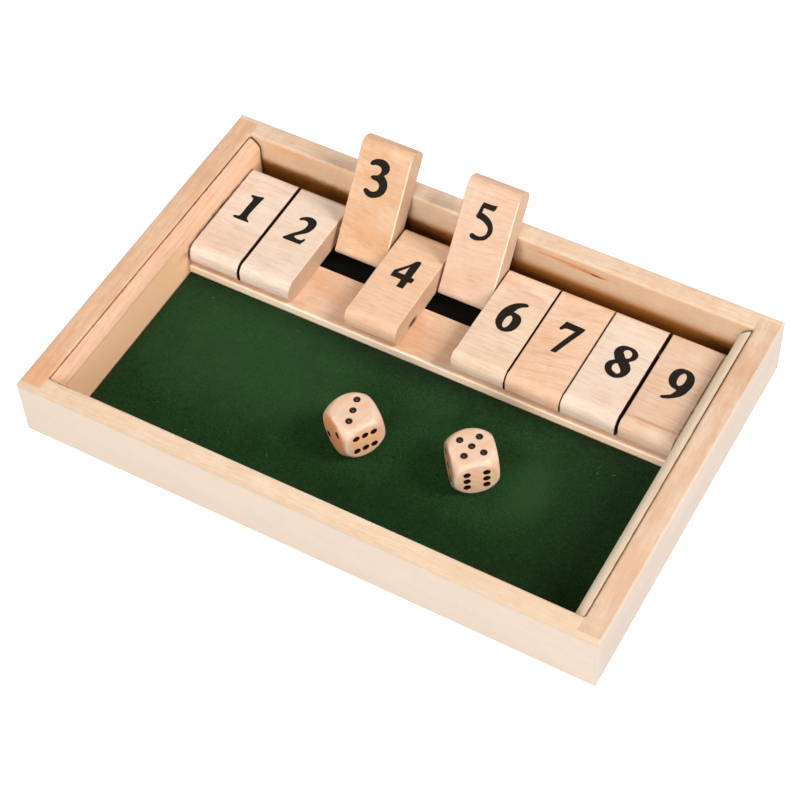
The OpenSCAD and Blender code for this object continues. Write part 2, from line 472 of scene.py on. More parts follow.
# %% Long boards
# painted light and shade: the paler tints of the outer faces and of the ends, the deeper tint of
# the inner faces, and a warm and a dark brown tint low on the back board's inner face
LIT_OUTER_FACE = "#dfd3c6"
LIT_OUTER_END = "#d7d0c8"
SHADED_INNER_FACE = "#dcb994"
PAINTED_WARM_SHADE = "#d89455"
PAINTED_FOOT_SHADE = "#ad6f32"
SEAM = "#6b3814"
BLACK = "#120a04"

BOTH_ENDS = [((1, 0, 0), LIT_OUTER_END, 0.8), ((-1, 0, 0), LIT_OUTER_END, 0.8)]

in_maple(
    "front_board", "#efd8be", "#e7c7a7", (0, -68, 12), lie=(1, 1), pith=(30, -14), ring=3.4,
    lines=0.12, blotch=0.5, seed=1,
    # painted light on the outer face and the ends, painted shade on the inner face
    sides=[((0, -1, 0), LIT_OUTER_FACE, 0.7), ((0, 1, 0), SHADED_INNER_FACE, 0.5), *BOTH_ENDS],
    marks=[
        # painted shade tones the front arris down, a painted highlight lies along the inner arris
        # beside the felt, and the inner arris keeps a line of brown glue along the left liner's end
        ((0, -3.9, 12.4), (300, 0.9, 0.9), "#cfb499", 0.8),
        ((4, 3.6, 12.4), (96, 0.7, 2), "#fff6e6", 1), ((-94, 3.6, 12.4), (6, 0.8, 1), "#8f5a30", 1),
        ((78, 0, 12.5), (40, 8, 2), "#dcc4aa", 0.35),
    ],
)
in_maple(
    "back_board", "#ecd7c1", "#e2c0a1", (0, 68, 12), lie=(3, 2), pith=(-26, 6), ring=2.4,
    lines=0.12, blotch=0.6, figure=0.5, seed=2,
    sides=[
        # painted light on the outer face and the ends; painted shade on the inner face, warmer and
        # then dark brown towards its foot behind the tiles
        ((0, 1, 0), LIT_OUTER_FACE, 0.7), ((0, -1, 0), SHADED_INNER_FACE, 0.45), ((0, -1, 0), PAINTED_WARM_SHADE, 0.45, 13, 16.5),
        ((0, -1, 0), PAINTED_FOOT_SHADE, 1, 11, 14.9), *BOTH_ENDS,
    ],
    marks=[
        # a warm cloud near the left end; painted shade for a darker foot at both ends and under
        # tile 4, and a painted shadow of tile 5 on the strip beside it; an orange streak with a
        # dark core; a paler left half on top, and painted light in the middle of the top, where the
        # raised tiles' shade falls
        ((-80, -6, 11), (45, 3, 9), "#e19756", 0.35),
        ((-78, -6, -1), (62, 6, 3.4), "#7e4f21", 0.9), ((-45, -4, -3), (30, 5, 4), "#5a3413", 0.6),
        ((100, -4, -4.5), (19, 6, 6), "#4a2a10", 0.85),
        ((11, -4, 4), (2, 6, 9), "#9c6734", 0.4), ((30, -3.7, 9.2), (15, 3, 0.7), "#d98248", 0.7),
        ((38, -3.7, 8.3), (10, 3, 0.6), "#d47434", 0.8),
        ((41, -3.7, 8), (3.5, 3, 0.5), "#7a3a16", 1),
        ((-60, -1, 16), (46, 8, 3), "#fde6d6", 0.9), ((-5, 0, 13), (24, 8, 2), "#ffe8cd", 0.7),
    ],
)

# %% Short boards
# the outer face gets a paler tint, which is painted light, as on the long boards
in_maple(
    "left_board", "#ebc8a8", "#e0ac87", (-104, 0, 12), (0, 0, 90), lie=(2, 1), pith=(-20, 12),
    ring=3.0, lines=0.2, blotch=0.8, sides=[((-1, 0, 0), LIT_OUTER_END, 0.7)], seed=3,
    marks=[((-64, 0, 12.5), (10, 9, 2), "#e2935c", 0.35)],
)
in_maple(
    "right_board", "#e1c8af", "#d3a787", (104, 0, 12), (0, 0, 90), lie=(4, 3), pith=(4, 20),
    ring=3.6, lines=0.26, blotch=0.9, sides=[((1, 0, 0), LIT_OUTER_END, 0.7)], seed=4,
    marks=[((-25, 0, 12.5), (55, 8, 2), "#f2dcc6", 0.2)],
)

# %% Liners and ledge
in_maple(
    "left_liner", "#edc4a8", "#e4b494", (-99.6, 0, 12), (0, 0, 90), pith=(-9, 4), ring=2.2,
    # painted light: the inner face is paler below its crown
    lines=0.14, blotch=0.5, seed=5, sides=[((1, 0, 0), "#ffd2a8", 0.85, 18.5, 20.5)],
    marks=[
        # the first mark takes most of that paler tint back again; then the seam with the board,
        # blacker towards the back; painted shadow of tile 1 on the inner face; painted shade in the
        # gap at the liner's rear end
        ((36, -4.2, 5.5), (36, 1.5, 5), "#efc6a9", 0.9),
        ((0, 0, 12), (200, 0.4, 3), SEAM, 1), ((52, 0, 12), (44, 0.55, 3), BLACK, 0.7),
        ((33, -4.2, 1), (24, 0.6, 3.5), BLACK, 0.9), ((63.8, -2, 4), (0.9, 8, 30), "#35180a", 1),
    ],
)
in_maple(
    "right_liner", "#ffeacf", "#fbdcba", (99.6, 0, 12), (0, 0, 90), pith=(10, -6), ring=1.8,
    # painted light: the side that faces left is paler; the marks are the seam with the board,
    # blacker towards the back, and painted shade in the gap at the liner's rear end
    lines=0.22, blotch=0.4, seed=6, sides=[((-1, 0, 0), "#fff0d9", 0.8)], marks=[
        ((0, 0, 12), (200, 0.4, 3), SEAM, 1), ((52, 0, 12), (40, 0.45, 3), BLACK, 0.6),
        ((63.8, 2, 4), (0.9, 8, 30), BLACK, 1),
    ],
)
in_maple(
    "tile_ledge", "#edccb1", "#dfac86", (0, 23, 4), lie=(0, 1), pith=(-40, 14), ring=3.2,
    lines=0.16, blotch=0.8, sides=[((0, -1, 0), "#ffdcbb", 1)], seed=7,
    # painted light: the front face is paler, a painted highlight runs along the front arris, and
    # the face below it on the left is paler still
    marks=[
        ((-30, -10.5, -0.5), (65, 1, 3), "#ffecd0", 0.8),
        ((0, -10.3, 2), (300, 0.9, 0.7), "#fff0dc", 0.9),
    ],
)

# %% [markdown]
# ## Tiles
#
# The tiles are cut across a wide plank, so their grain runs from tile to tile, along the rod, and
# the sides that touch each other are end grain. On some tiles that end grain, and a line along an
# upper edge, get a near-black tint: painted shade for the narrow gaps between tiles, beside the
# liners and at the raised tiles' feet. Two tiles stand raised, and their wood has to turn with
# them, so each finish takes the tile's own axes: X along the rod, Y towards the tail behind it,
# and Z up through the tile as it lies. A raised tile leans back past upright on the back board's
# edge. Turning a lying tile's corners by the same angle shows whether the angle is right.

# %% Tile axes
TILES = range(1, 10)
RAISED = (3, 5)
LEAN = 123.736
ROD_Y, ROD_Z = sum(box_mm("pivot_rod"))[1:] / 2
LYING_LOW, LYING_HIGH = box_mm("tile_1")
TAIL_Y, FREE_Y = LYING_HIGH[1] - ROD_Y, LYING_LOW[1] - ROD_Y
FACE_Z = LYING_HIGH[2] - ROD_Z


def tile_turn(n):
    """The angle about X at which tile n stands, in degrees."""
    return -LEAN if n in RAISED else 0.0


def tile_origin(n):
    """The point on the rod's line in the middle of tile n, in mm."""
    return np.array([sum(box_mm(f"tile_{n}"))[0] / 2, ROD_Y, ROD_Z])


def on_tile(n, points):
    """Points on tile n's own axes brought to where the tile stands: turned, then moved."""
    turned = np.array(Matrix.Rotation(math.radians(tile_turn(n)), 3, "X"))
    return points @ turned.T + tile_origin(n)


top_of_3 = on_tile(3, np.array([[0, FREE_Y, -FACE_Z], [0, FREE_Y, FACE_Z]]))[:, 2].max()
print("tile 3 reaches", box_mm("tile_3")[1][2], "mm; square corners would reach", top_of_3)

# %% Tile wood
# painted shade: the near-black of end grain and edge lines in the narrow gaps
GAP_SHADE = "#2e1408"
PALE_END = "#c9ae95"
# painted highlight: a pale line along the right edge of the lower face, which faces the front when
# the tile is raised
PAINTED_EDGE_HIGHLIGHT = ((10.15, -12, -4.7), (0.45, 60, 0.45), "#fff1de", 0.8)


def gap_shadow_edge(across, middle=-12, half=60, width=0.35, tint=GAP_SHADE):
    """Painted shade along an upper edge of a tile, that far across it, where a gap or a raised tile
    shades it.
    """
    return ((across, middle, 2), (width, half, 6), tint, 1)


TILE_WOODS = {
    # tile: pale and warm tints, ring width, ring lines, blotches, lie, share and tint of the end
    # grain, marks; the near-black and dark brown end-grain tints are painted shade for the gaps
    1: ("#f5e6d9", "#eed3bd", 1.5, 0.22, 0.5, 2, 1, GAP_SHADE, [
        ((0, -28, 4), (14, 9, 4), "#dcb08a", 0.4), gap_shadow_edge(-10.15, half=100, width=0.7),
        gap_shadow_edge(10.2),
    ]),
    2: ("#f0dece", "#eaceb7", 1.9, 0.12, 0.5, -1, 0.62, END_WOOD, []),
    3: ("#ebcaac", "#dfae84", 2.6, 0.16, 1.0, -8, 0.5, PALE_END, [PAINTED_EDGE_HIGHLIGHT]),
    4: ("#edcaad", "#e5bc98", 1.2, 0.2, 0.5, 1, 0.38, "#b4937a", [
        ((10.2, -24.4, -2.8), (0.9, 3.4, 1.5), "#3a1c0a", 1.0), gap_shadow_edge(-10.15, 4, 9, width=0.5),
    ]),
    5: ("#eacdb5", "#e2b99c", 1.5, 0.14, 0.6, 2, 0.4, PALE_END, [PAINTED_EDGE_HIGHLIGHT]),
    6: ("#ecd6c0", "#e4c3a7", 1.3, 0.2, 0.5, 0, 1, GAP_SHADE, [
        ((-6, 2, 4), (7, 1.2, 4), "#d9976a", 0.4), ((2, 0, 4), (8, 0.5, 4), "#d08a5a", 0.4),
        gap_shadow_edge(-10.15, 2, 11), gap_shadow_edge(10.3, width=0.25),
    ]),
    7: ("#eecfb6", "#e3b490", 2.2, 0.24, 0.8, 9, 0.4, "#7a4a28", []),
    8: ("#e9d8c8", "#e5c9af", 1.6, 0.14, 0.4, 1, 1, GAP_SHADE, [gap_shadow_edge(10.2)]),
    9: ("#e2c8b2", "#d8b296", 1.3, 0.22, 0.6, -2, 0.5, GAP_SHADE, [
        ((0, -31.5, 4), (15, 0.7, 4), "#b97c53", 0.6), gap_shadow_edge(9.35, tint="#54280f"),
    ]),
}

for n, (pale, warm, ring_width, lines, blotch, lie, end, end_wood, marks) in TILE_WOODS.items():
    in_maple(
        f"tile_{n}", pale, warm, tile_origin(n), (tile_turn(n), 0, 0), lie=(0, lie),
        pith=(7 * math.sin(5 * n), -26 + 3 * math.cos(4 * n)), ring=ring_width, wander=5.0,
        lines=lines, blotch=blotch, end=end, end_wood=end_wood, marks=marks, seed=10 + n,
    )

# %% [markdown]
# ## Base panel and rod
#
# A thin panel closes the case from below. Its upper side is black, and that is the dark channel
# behind the tiles; its underside is bare wood. One material can do both, because the black is
# where the surface faces up. The rod is drawn steel: its fine scratches run along it.

# %% Base panel
panel = finish("base_panel_black")
panel_place = panel.place()
brushed = panel.noise(panel_place, (0.08, 1.4, 1.4), 3.0, 0.6)
dust = panel.patches(panel_place, 1.9, 0.62, 0.8)
bare = panel.mix("#d9b98f", "#b98f63", brushed)
black = panel.mix(panel.mix("#080804", "#10100a", brushed), "#3a362c", dust * 0.2)
dress("base_panel", panel.surface(
    Base_Color=panel.mix(bare, black, panel.step(panel.facing((0, 0, 1)), 0.2, 0.6)),
    Roughness=0.7 + 0.2 * brushed,
    Specular_IOR_Level=0.1,
    Normal=panel.bump(brushed, 0.05),
))

# %% Pivot rod
steel = finish("pivot_rod_steel")
drawn = steel.noise(steel.place(), (0.06, 6.0, 6.0), 3.0, 0.6)
dress("pivot_rod", steel.surface(
    Base_Color=steel.mix("#c9c8c4", "#8f8d88", steel.step(drawn, 0.4, 0.75)),
    Metallic=1.0,
    Roughness=0.22 + 0.22 * drawn,
    Normal=steel.bump(drawn, 0.01),
))

# %% [markdown]
# ## New pieces as meshes
#
# Most of what is still to be made is a surface over a grid of two parameters: numpy works out all
# of its points at once, and its faces are the grid's cells. One helper puts any mesh into Blender,
# and says which body it moves with and which finish it belongs to.

# %% Mesh helpers
def cells(rows, columns, wrap=False):
    """The four corners of each cell of a grid; wrap joins the last column to the first."""
    index = np.arange(rows * columns).reshape(rows, columns)
    if wrap:
        index = np.concatenate([index, index[:, :1]], axis=1)
    corners = index[:-1, :-1], index[:-1, 1:], index[1:, 1:], index[1:, :-1]
    return np.stack(corners, axis=-1).reshape(-1, 4)


def wall(run, further):
    """The faces between a closed run of points and its copy, that many points further on."""
    ahead = np.roll(run, -1)
    return np.stack([run, run + further, ahead + further, ahead], axis=-1)


def several(parts):
    """Many (points, faces) as one: each part's faces are counted on past the points before it."""
    points = np.concatenate([points for points, _ in parts])
    starts = np.cumsum([0] + [len(points) for points, _ in parts])
    faces = [start + np.array(face) for (_, part), start in zip(parts, starts) for face in part]
    return points, faces


def make_piece(name, points, faces, material, body, slot, weld=None, smooth=True):
    """Makes one mesh of points in mm, merges those closer than weld, turns all faces outwards, and
    rides the mesh on its body."""
    mesh = bpy.data.meshes.new(name)
    mesh.from_pydata((points * MM).tolist(), [], [list(map(int, face)) for face in faces])
    shell = bmesh.new()
    shell.from_mesh(mesh)
    if weld:
        bmesh.ops.remove_doubles(shell, verts=shell.verts, dist=weld * MM)
    bmesh.ops.recalc_face_normals(shell, faces=shell.faces)
    shell.to_mesh(mesh)
    shell.free()
    mesh.polygons.foreach_set("use_smooth", [smooth] * len(mesh.polygons))
    mesh.materials.append(material)
    piece = add_object(name, mesh)
    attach(piece, body)
    print(name, len(mesh.polygons), "faces")
    return piece


print("a grid of 3 by 4 points has", len(cells(3, 4)), "cells")

# %% [markdown]
# ## Numerals
#
# The numerals are plain, heavy and slightly old-fashioned, printed in black on both broad faces
# of a tile, so that a raised tile shows its number too. A font would be quick, but no font is
# sure to be there, and these shapes have soft printed corners. So each numeral is an outline of a
# few points in mm. A smooth curve runs through them and turns sharply only at the points that are
# marked with an exclamation mark.

# %% Numeral outlines
NUMERALS = {
    # numeral: height of its middle on the lying face and on the raised face, and its loops,
    # divided by bars; a point is its distance right of the middle and down from the edge above
    1: (18.2, 13.8, """1.42,11.8 1.3,13.5 .95,17.5 .8,21.5 1.1,23.1 2.75,24.6! -3.6,24.55 -3.9,24.1
        -3.25,23.7 -2.1,23.4 -1.75,22.5 -1.7,18.5 -1.6,14.5 -1.9,13.6 -2.75,13.2 -3.2,12.9
        -3.1,12.5 -1,12.25 1,11.75"""),
    2: (18.7, 13.8, """-2.95,14.25 -2.25,13.45 -1,12.55 .5,12.2 2,12.45 3.25,13.25 3.8,14.5 3.9,16
        3.5,17.75 2.75,19.25 1.25,20.6 .1,21.75 -.7,22.55! .1,23.25 2,23.4 2.9,23.2 3.25,22.5
        3.6,22.25 3.9,22.5 3.6,23.75 3.3,25.1! -3.5,25.2! -3.9,24.75 -3,23.5 -1.5,21.5 0,19.8
        .9,18.25 1.25,16.75 1.1,15.4 .5,14.6 -.5,14.25 -1.5,14.4 -2.5,14.9 -2.95,14.6"""),
    3: (19.5, 13.3, """-4.8,8.75 -4.4,7.75 -3.25,6.8 -1.75,6.25 0,6.1 1.5,6.6 2.5,7.6 2.75,8.9
        2.4,10.1 1.5,11.1 1.1,11.5! 2,12.1 2.9,13.1 3.4,14.5 3.4,16 2.75,17.75 1.6,19.1 0,20.1
        -1.75,20.6 -3.25,20.4 -4.4,19.6 -4.9,18.9 -4.5,18.2 -3.75,18.05 -3,18.3 -2,18.55 -.9,18.25
        0,17.6 .5,16.5 .55,15.5 0,14.6 -1,14.1 -2.75,13.95 -3.3,13.6 -3.3,13.1 -2.5,12.6 -1.1,12.1
        -.4,11.4 0,10.4 -.05,9.5 -.6,8.9 -1.75,8.5 -2.9,8.6 -3.9,9.1 -4.5,9.1"""),
    4: (19.5, 13.8, """2,12.75 2.9,12.75! 3.05,13.75 3,20.5! 4.25,20.75! 4.5,21.25 4.25,22.75!
        2.95,22.8! 2.8,26.25! .4,26.25! .5,23! .1,22.8 -3.9,22.75! -3.9,20! 0,15.25 1.1,13.25 |
        .35,16.2! .55,20.45! -2.55,20.4!"""),
    5: (19.5, 14.2, """-2.3,7.4! 2,7.25 2.85,6.95! 2.5,8.3 2,9.15! -1.85,9.15! -1.95,10.5
        -2.15,11.15! -.95,11.35 .55,11.9 2,12.9 2.85,14.05 3.4,15.5 3.35,17.05 2.6,18.65 1.5,20
        .05,20.7 -1.5,21.15 -3.05,21.15 -4,20.6 -4.05,19.9 -3.55,19.35 -2.7,19.4 -2,19.6 -.55,19.55
        .65,19 1.6,17.95 1.85,16.5 1.5,15.3 .55,14.5 -1.05,13.7 -2.25,13.45 -3.3,13.3 -3.65,12.9
        -3.25,11.45 -2.85,9.45"""),
    6: (19.8, 13.8, """2.6,12.6 3.6,13! 3.5,13.45 2.25,14.25 1.25,15.1 .55,16.4 .1,17.9! 1.25,18
        2.6,18.3 3.75,19.25 4.3,20.5 4.45,22.25 4.1,24.25 3.25,25.75 1.9,26.75 .25,27.1 -1.25,26.75
        -2.6,25.6 -3.6,24 -3.95,22 -3.9,20 -3.5,18 -2.75,16.4 -1.6,14.75 -.25,13.6 1.25,12.9 |
        .15,19.55 1.15,20.45 1.55,22.6 1.15,24.75 .15,25.65 -.85,24.75 -1.25,22.6 -.85,20.45"""),
    7: (20.2, 13.8, """-2.5,13.2! 4.7,13.5! 4.6,14.25 3.4,17.75 1.75,22.25 .1,27.1! -1.75,27.2!
        -.25,22.5 1.25,18.25 2.1,15.9! -1,15.8 -1.9,16.25 -2.75,17.2 -3.25,17.05 -3.4,16.5
        -2.9,14.9"""),
    8: (20.6, 13.8, """1.25,13.4 3,13.75 4.4,14.9 4.8,16.4 4.4,17.9 3.5,18.9 3.1,19.5 3.9,20.5
        4.75,21.75 5,23.25 4.6,25 3.6,26.5 2.1,27.5 .6,27.7 -1,27.25 -2.5,26.1 -3.3,24.6
        -3.45,23.25 -3,21.9 -2,20.9 -1.5,20.5! -2.25,19.25 -3.1,17.75 -3.2,16.1 -2.6,14.75
        -1.25,13.7 | -.45,16.1 0,15.1 1.25,14.6 2.5,15.25 2.95,16.5 2.5,18 1.6,18.55 .6,17.6 |
        -.1,21.55 .9,22.4 2,23.6 2.45,24.9 1.6,25.9 .4,25.6 -.75,24.9 -1.25,23.6 -1,22.25"""),
    9: (20.8, 13.8, """.6,13.5 2.25,13.75 3.75,14.9 4.6,16.5 4.95,18.5 4.6,21.25 4,23.25 2.75,25.1
        1,26.6 -.5,27.5 -2.25,28 -2.8,27.75! -2.6,27.25 -1.25,26.4 0,25.5 .75,24 1.05,22.75! 0,22.6
        -1.5,22.1 -2.9,20.6 -3.45,18.75 -3.4,16.75 -2.75,15 -1.25,13.75 | .65,15.05 1.7,15.95
        2.1,18.05 1.7,20.15 .65,21.05 -.4,20.15 -.8,18.05 -.4,15.95"""),
}
print("numerals with a hole:", [n for n, (*_, loops) in NUMERALS.items() if "|" in loops])

# %% Smooth outline
STEPS = 6


def outline(text):
    """A closed smooth curve through the points of the text, STEPS points to each span.

    Each span is a cubic with a chosen slope at both ends. With time running as the square root of
    the distance, the slope at a smooth point is the spans' own slopes on both sides less the
    slope from neighbour to neighbour; at a sharp point it is the span's own slope."""
    words = text.split()
    here = np.array([[float(x) for x in word.rstrip("!").split(",")] for word in words])
    sharp = np.array([[word.endswith("!")] for word in words])
    after, before = np.roll(here, -1, 0), np.roll(here, 1, 0)
    time = np.linalg.norm(after - here, axis=1, keepdims=True) ** 0.5
    time_before = np.roll(time, 1, 0)
    slope, slope_before = (after - here) / time, (here - before) / time_before
    smooth = slope + slope_before - (after - before) / (time + time_before)
    start = np.where(sharp, slope, smooth) * time
    end = np.roll(np.where(sharp, slope_before, smooth), -1, 0) * time
    t = (np.arange(STEPS) / STEPS)[None, :, None]
    here, after, start, end = (x[:, None] for x in (here, after, start, end))
    curve = (
        (2 * t**3 - 3 * t**2 + 1) * here + (t**3 - 2 * t**2 + t) * start
        + (3 * t**2 - 2 * t**3) * after + (t**3 - t**2) * end
    )
    return curve.reshape(-1, 2)


print("the outline of 1 has", len(outline(NUMERALS[1][2])), "points")

# %% [markdown]
# Printed ink has next to no thickness, but it must not flicker through the wood. So a numeral is
# a very thin solid: its outline is filled with triangles twice, just below and just above the
# wood, and its walls join the two. Wet ink creeps outwards into the fibres, so the outline is
# spread a little first. The same numeral is laid on the upper face, and turned half round the
# rod's axis onto the lower one.

# %% Ink
ink = finish("numeral_ink")
ink_place = ink.place()
ink_grain = ink.noise(ink_place, (0.5, 2.4, 2.4), 3.0, 0.6)
black_ink = ink.surface(
    Base_Color=ink.mix("#1e1b17", "#261f1b", ink.step(ink_grain, 0.4, 0.75)),
    Roughness=0.5 + 0.2 * ink_grain,
    Specular_IOR_Level=0.06,
    Normal=ink.bump(ink_grain, 0.02),
)

# %% From outline to solid
INK_HALF = 0.05
INK_SPREAD = 0.12


def spread(loop, by):
    """A closed loop moved outwards along its normals; a negative distance moves it inwards.

    The normal is the chord from neighbour to neighbour, turned by a right angle, and the sign of
    the loop's area says on which side the inside lies."""
    x, y = loop.T
    area = (x * np.roll(y, -1) - np.roll(x, -1) * y).sum()
    chord = np.roll(loop, -1, 0) - np.roll(loop, 1, 0)
    normal = chord[:, ::-1] * (1, -1) / np.linalg.norm(chord, axis=1, keepdims=True)
    return loop + normal * by * np.sign(area)


def ink_solid(loops):
    """A thin solid between two copies of the loops, below and above z = 0: its faces are the
    filled loops, and a wall along each loop."""
    flat = np.concatenate(loops)
    count = len(flat)
    points = np.concatenate([np.insert(flat, 2, z, axis=1) for z in (-INK_HALF, INK_HALF)])
    fill = tessellate_polygon([[Vector((*point, 0)) for point in loop] for loop in loops])
    faces = [np.array(corners) + level for level in (0, count) for corners in fill]
    first = 0
    for loop in loops:
        faces.extend(wall(first + np.arange(len(loop)), count))
        first += len(loop)
    return points, faces


print("the ink is", 2 * INK_HALF, "mm thick, and spreads by", INK_SPREAD, "mm")

# %% Printed numerals
def print_numeral(n):
    """The numeral of tile n on both of its broad faces, as one piece that turns with the tile."""
    middle_lying, middle_raised, loops = NUMERALS[n]
    middle = middle_raised if n in RAISED else middle_lying
    outer, *holes = [(outline(loop) - (0, middle)) * (1, -1) for loop in loops.split("|")]
    inked = [spread(outer, INK_SPREAD)] + [spread(hole, -INK_SPREAD) for hole in holes]
    solid, faces = ink_solid(inked)
    upper = solid + (0, TAIL_Y - middle_lying, FACE_Z)
    lower = solid * (1, -1, -1) + (0, FREE_Y + middle_raised, -FACE_Z)
    points, faces = several([(upper, faces), (lower, faces)])
    points, body = on_tile(n, points), f"tile_{n}_body"
    make_piece(f"numeral_{n}", points, faces, black_ink, body, "black_ink", smooth=False)


for n in TILES:
    print_numeral(n)

# %% [markdown]
# ## The felt
#
# The felt is one rectangle of pressed wool, cut to the play area and glued down. It could be a
# plain slab with a bumpy shader, but felt is soft: its cut edge is round, its surface rolls a
# little, and it has one shallow crease where it was once folded. So its upper side is a fine
# height grid, and its edge turns down into the same closed mesh. The fuzz is real too: thousands
# of short curled fibres lie on it, each a tiny spindle, with a few pale bits of lint among them.

# %% Felt relief
FELT_LOW, FELT_HIGH = box_mm("felt_mat")
FELT_LEVEL = FELT_HIGH[2] - 0.05  # a little low, so that the rolls have room
FELT_EDGE = 0.45
ROLLS, ROLL_HEIGHT, ROLL_RATE = 24, 0.012, 0.22
CREASE = np.array([[-73.4, 11.4], [-61.9, -0.4]])
CREASE_HEIGHT, CREASE_WIDTH = 0.22, 0.7
rng = np.random.default_rng(7)
waves = rng.normal(size=(ROLLS, 2)) * ROLL_RATE
phases = rng.uniform(0, 2 * math.pi, ROLLS)


def felt_height(places):
    """Height of the felt above its flat, in mm: a sum of seeded cosines, and along the crease a
    low bell-shaped ridge that fades past the crease's ends."""
    rolls = np.cos(places @ waves.T + phases).sum(-1)
    run = CREASE[1] - CREASE[0]
    share = np.clip((places - CREASE[0]) @ run / (run @ run), 0, 1)
    away = np.linalg.norm(places - CREASE[0] - share[..., None] * run, axis=-1)
    return ROLL_HEIGHT * rolls + CREASE_HEIGHT * np.exp(-((away / CREASE_WIDTH) ** 2))


def felt_samples(low, high, spacing=0.8):
    """Places across the felt: close together in its rounded edges, and even between them."""
    edge = np.array([0.0, 0.03, 0.1, 0.22, FELT_EDGE])
    middle = np.linspace(low + 1, high - 1, round((high - low - 2) / spacing))
    return np.concatenate([low + edge, middle, high - edge[::-1]])


felt_x, felt_y = (felt_samples(FELT_LOW[k], FELT_HIGH[k]) for k in (0, 1))
felt_grid = np.stack(np.meshgrid(felt_x, felt_y), -1)
to_edge = np.minimum(felt_grid - FELT_LOW[:2], FELT_HIGH[:2] - felt_grid).min(-1)
short = np.clip(FELT_EDGE - to_edge, 0, FELT_EDGE)
edge_drop = FELT_EDGE - np.sqrt(FELT_EDGE**2 - short**2)
felt_top = FELT_LEVEL - edge_drop + felt_height(felt_grid) * np.clip(to_edge, 0, 1)
print("felt", FELT_HIGH - FELT_LOW, "mm, on a grid of", felt_top.shape)

# %% [markdown]
# Pressed felt is mottled because its fibres lie in swirls, and each swirl takes the dye and the
# light in its own way. Two scales of noise do that: broad soft clouds, and a fine tangle that is
# warped by another noise so that it looks like fibres and not like sand. Sheen gives the pale
# bloom that fuzz has when it is seen at a low angle.

# %% Felt finish
cloth = finish("felt_green")
felt_place = cloth.place()
swirl = cloth.node("ShaderNodeTexNoise", None, {"Vector": felt_place, "Scale": 0.5}, 1)
tangled = cloth.vector("ADD", felt_place, cloth.vector("MULTIPLY", swirl, (3, 3, 3)))
tangle = cloth.noise(tangled, 2.2, 3.0, 0.65)
felt_cloud = cloth.patches(felt_place, 0.07, 0.45, 0.75, 3.0, 0.6)
mottle = cloth.noise(felt_place, 0.5, 2.0, 0.6)
green = cloth.layers(
    "#082005",
    ("#214d20", cloth.step(tangle, 0.34, 0.66)),
    ("#1a3e19", cloth.step(mottle, 0.4, 0.7) * 0.5),
    ("#0c230b", felt_cloud * 0.45),
)
green = with_marks(cloth, felt_place, green, [
    # painted shade: darker along the ledge and the front, at the right and the left, where the
    # walls and the tiles shade the felt
    ((-10, 14, 3), (125, 11, 9), "#0b1a08", 0.72), ((30, -46, 3), (52, 9, 9), "#0b1a08", 0.35),
    ((74, -14, 3), (24, 60, 9), "#0b1a08", 0.5), ((-96, -14, 3), (6, 40, 9), "#0b1a08", 0.35),
    # painted light: two paler pools where most light falls on the felt
    ((-54, -12, 3), (46, 26, 9), "#2a5027", 0.35), ((57, -17, 3), (9, 15, 9), "#2a5027", 0.5),
])
green_felt = cloth.surface(
    Base_Color=green,
    Roughness=0.95,
    Specular_IOR_Level=0.1,
    Sheen_Weight=0.08,
    Sheen_Roughness=0.5,
    Normal=cloth.bump(tangle * 0.7 + mottle * 0.3, 0.25),
)

# %% Felt mat
rows, columns = felt_top.shape
top_points = np.concatenate([felt_grid, felt_top[..., None]], -1).reshape(-1, 3)
under_points = top_points * (1, 1, 0) + (0, 0, FELT_LOW[2])
index = np.arange(rows * columns).reshape(rows, columns)
border = np.concatenate([index[0, :-1], index[:-1, -1], index[-1, :0:-1], index[:0:-1, 0]])
under, flat_cells = rows * columns, cells(rows, columns)
felt_faces = np.concatenate([flat_cells, flat_cells[:, ::-1] + under, wall(border, under)])
felt = make_piece(
    "felt", np.concatenate([top_points, under_points]), felt_faces, green_felt, "case", "green_felt"
)
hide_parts("felt_mat")

# %% Fibres
FIBRE_MARGIN = 2.2
FIBRE_LIMIT = 0.8
FIBRE_SINK = 0.02


def fibres(name, count, length, thick, rise, material, seed):
    """Seeded short fibres that lie on the felt, as one piece in the case.

    A fibre is a spindle: five rings of three points, closed at both ends, round a path that bends
    sideways with the square of the way, and rises in one low arc."""
    draw = np.random.default_rng(seed)
    low, high = FELT_LOW[:2] + FIBRE_MARGIN, FELT_HIGH[:2] - FIBRE_MARGIN
    start = draw.uniform(low, high, (count, 2))
    heading, bend = draw.uniform(0, 2 * math.pi, count), draw.normal(0, 1.1, count)
    size, lift = draw.uniform(*length, count), draw.uniform(*rise, count)
    way = np.linspace(0, 1, 5)
    turned = heading[:, None] + bend[:, None] * way
    ahead = np.stack([np.cos(turned), np.sin(turned)], -1)
    path = start[:, None] + (size[:, None] * (way - 0.5))[..., None] * ahead
    path = np.clip(path, FELT_LOW[:2] + FIBRE_LIMIT, FELT_HIGH[:2] - FIBRE_LIMIT)
    arc = lift[:, None] * np.sin(math.pi * way) - FIBRE_SINK
    path = np.concatenate([path, (FELT_LEVEL + felt_height(path) + arc)[..., None]], -1)
    radius = np.array([0.15, 0.8, 1.0, 0.8, 0.15]) * thick
    round_it = np.arange(3) * 2 * math.pi / 3
    sideways = np.stack([-np.sin(turned), np.cos(turned), 0 * turned], -1)[:, :, None]
    rings = radius[:, None, None] * (
        np.cos(round_it)[:, None] * sideways + np.sin(round_it)[:, None] * np.array([0, 0, 1.0])
    )
    points = path[:, :, None] + rings
    spindle = [*cells(len(way), len(round_it), wrap=True), (2, 1, 0), (12, 13, 14)]
    parts = [(part, spindle) for part in points.reshape(count, -1, 3)]
    return make_piece(name, *several(parts), material, "case", "green_felt", smooth=False)


